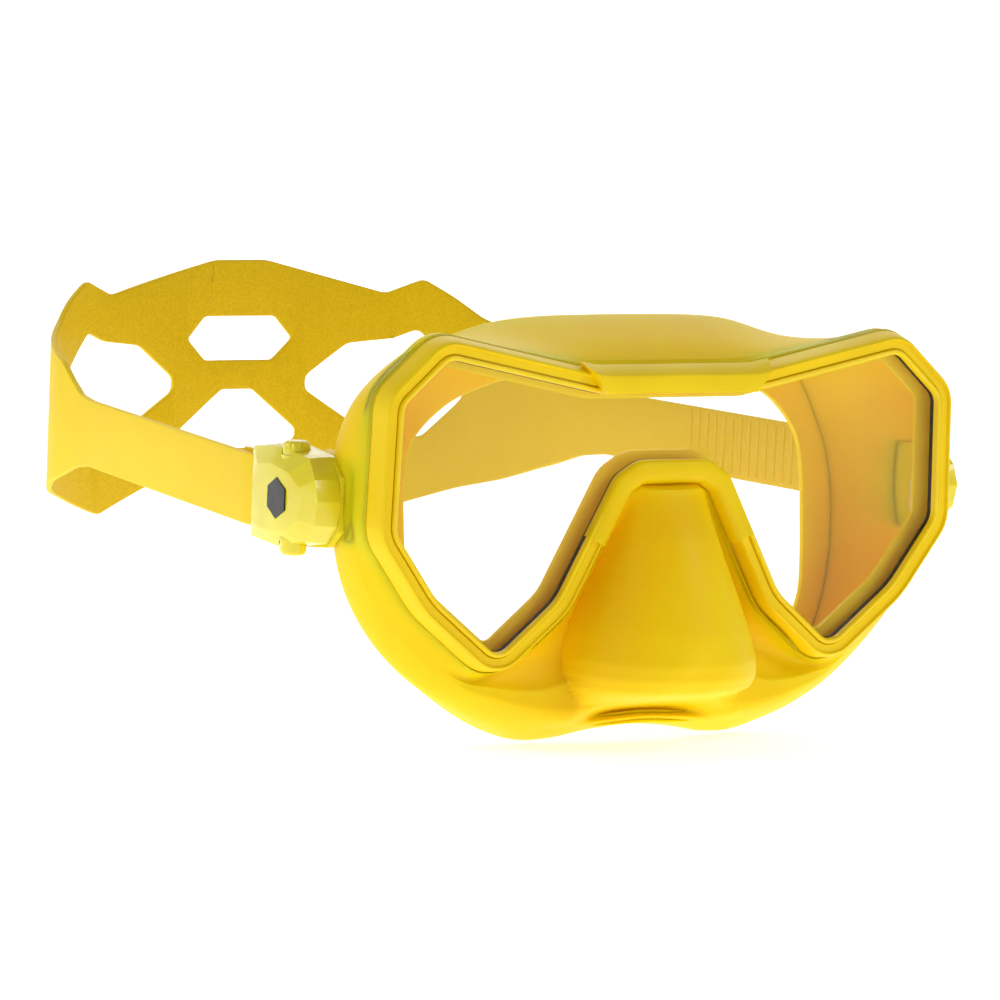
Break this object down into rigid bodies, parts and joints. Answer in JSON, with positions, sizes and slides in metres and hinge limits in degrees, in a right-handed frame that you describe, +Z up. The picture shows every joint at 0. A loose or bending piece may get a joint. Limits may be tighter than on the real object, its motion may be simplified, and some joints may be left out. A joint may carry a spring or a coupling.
{
  "type": "snorkel mask",
  "caption": "Single-lens snorkel mask with moulded nose pocket, double-seal skirt, side buckles with release buttons and a wide cut-out head strap.",
  "frame": {"origin": "the middle of the viewing opening, in the plane of the rim's front edge, on the mask's plane of symmetry; the face fills the opening behind it", "axes": "+Y points back through the glass to the wearer's head, +Z is up, +X is the wearer's left"},
  "size_m": [0.1726, 0.2334, 0.093],
  "materials": {
    "clear_glass": "polished",
    "black_rubber": "matte",
    "lip_yellow": "gloss",
    "frame_yellow": "satin",
    "skirt_silicone": "satin",
    "strap_silicone": "satin",
    "buckle_lemon": "gloss",
    "badge_black": "gloss",
    "white_acetal": "satin",
    "stainless": "brushed"
  },
  "bodies": {
    "mask": {"lens_glass": "clear_glass", "lens_gasket": "black_rubber", "retaining_ring": "lip_yellow", "frame": "frame_yellow", "skirt": "skirt_silicone", "left_lug_core": "frame_yellow", "right_lug_core": "frame_yellow"},
    "left_buckle": {"left_buckle_base": "buckle_lemon", "left_buckle_cover": "buckle_lemon", "left_badge": "badge_black", "left_roller_axle": "stainless", "left_pawl_pin": "stainless", "left_strap_fold": "strap_silicone", "left_upper_spring": "stainless", "left_lower_spring": "stainless"},
    "left_roller": {"left_strap_roller": "white_acetal"},
    "left_pawl": {"left_pawl": "white_acetal"},
    "left_upper_button": {"left_upper_button": "buckle_lemon"},
    "left_lower_button": {"left_lower_button": "buckle_lemon"},
    "left_tail": {"left_strap_tail": "strap_silicone"},
    "strap": {"strap": "strap_silicone"},
    "right_buckle": {"right_buckle_base": "buckle_lemon", "right_buckle_cover": "buckle_lemon", "right_badge": "badge_black", "right_roller_axle": "stainless", "right_pawl_pin": "stainless", "right_strap_fold": "strap_silicone", "right_upper_spring": "stainless", "right_lower_spring": "stainless"},
    "right_roller": {"right_strap_roller": "white_acetal"},
    "right_pawl": {"right_pawl": "white_acetal"},
    "right_upper_button": {"right_upper_button": "buckle_lemon"},
    "right_lower_button": {"right_lower_button": "buckle_lemon"},
    "right_tail": {"right_strap_tail": "strap_silicone"}
  },
  "joints": [
    {"name": "left_buckle_swing", "type": "hinge", "parent": "mask", "child": "left_buckle", "pos_m": [0.0779, 0.02, -0.0085], "axis": [1, 0, 0], "range_deg": [-30, 40]},
    {"name": "strap_adjust", "type": "slide", "parent": "left_buckle", "child": "strap", "axis": [0, 1, 0], "range_m": [0, 0.005]},
    {"name": "left_tail_slide", "type": "slide", "parent": "left_buckle", "child": "left_tail", "axis": [0, 1, 0], "range_m": [-0.005, 0]},
    {"name": "left_roller_spin", "type": "hinge", "parent": "left_buckle", "child": "left_roller", "pos_m": [0.0816, 0.036, -0.0085], "axis": [0, 0, 1], "range_deg": [0, 170]},
    {"name": "left_upper_press", "type": "slide", "parent": "left_buckle", "child": "left_upper_button", "axis": [0, 0, 1], "range_m": [-0.0012, 0], "stiffness_N_per_m": 400, "springref_m": 0.0015, "deforming": ["left_upper_spring"]},
    {"name": "left_lower_press", "type": "slide", "parent": "left_buckle", "child": "left_lower_button", "axis": [0, 0, -1], "range_m": [-0.0012, 0], "stiffness_N_per_m": 400, "springref_m": 0.0015, "deforming": ["left_lower_spring"]},
    {"name": "left_pawl_release", "type": "hinge", "parent": "left_buckle", "child": "left_pawl", "pos_m": [0.0797, 0.027, -0.0085], "axis": [0, 0, 1], "range_deg": [0, 8]},
    {"name": "right_buckle_swing", "type": "hinge", "parent": "mask", "child": "right_buckle", "pos_m": [-0.0779, 0.02, -0.0085], "axis": [1, 0, 0], "range_deg": [-30, 40]},
    {"name": "right_tail_slide", "type": "slide", "parent": "right_buckle", "child": "right_tail", "axis": [0, 1, 0], "range_m": [-0.005, 0]},
    {"name": "right_roller_spin", "type": "hinge", "parent": "right_buckle", "child": "right_roller", "pos_m": [-0.0816, 0.036, -0.0085], "axis": [0, 0, 1], "range_deg": [-170, 0]},
    {"name": "right_upper_press", "type": "slide", "parent": "right_buckle", "child": "right_upper_button", "axis": [0, 0, 1], "range_m": [-0.0012, 0], "stiffness_N_per_m": 400, "springref_m": 0.0015, "deforming": ["right_upper_spring"]},
    {"name": "right_lower_press", "type": "slide", "parent": "right_buckle", "child": "right_lower_button", "axis": [0, 0, -1], "range_m": [-0.0012, 0], "stiffness_N_per_m": 400, "springref_m": 0.0015, "deforming": ["right_lower_spring"]},
    {"name": "right_pawl_release", "type": "hinge", "parent": "right_buckle", "child": "right_pawl", "pos_m": [-0.0797, 0.027, -0.0085], "axis": [0, 0, 1], "range_deg": [-8, 0]}
  ],
  "couplings": [
    {"joint": "left_tail_slide", "follows": "strap_adjust", "ratio": -1},
    {"joint": "left_roller_spin", "follows": "strap_adjust", "rad_per_m": 588.24},
    {"joint": "left_pawl_release", "follows": "left_upper_press", "rad_per_m": -108.33},
    {"joint": "right_tail_slide", "follows": "strap_adjust", "ratio": -1},
    {"joint": "right_roller_spin", "follows": "strap_adjust", "rad_per_m": -588.24},
    {"joint": "right_pawl_release", "follows": "right_upper_press", "rad_per_m": 108.33},
    {"joint": "right_buckle_swing", "follows": "left_buckle_swing", "ratio": 1}
  ]
}
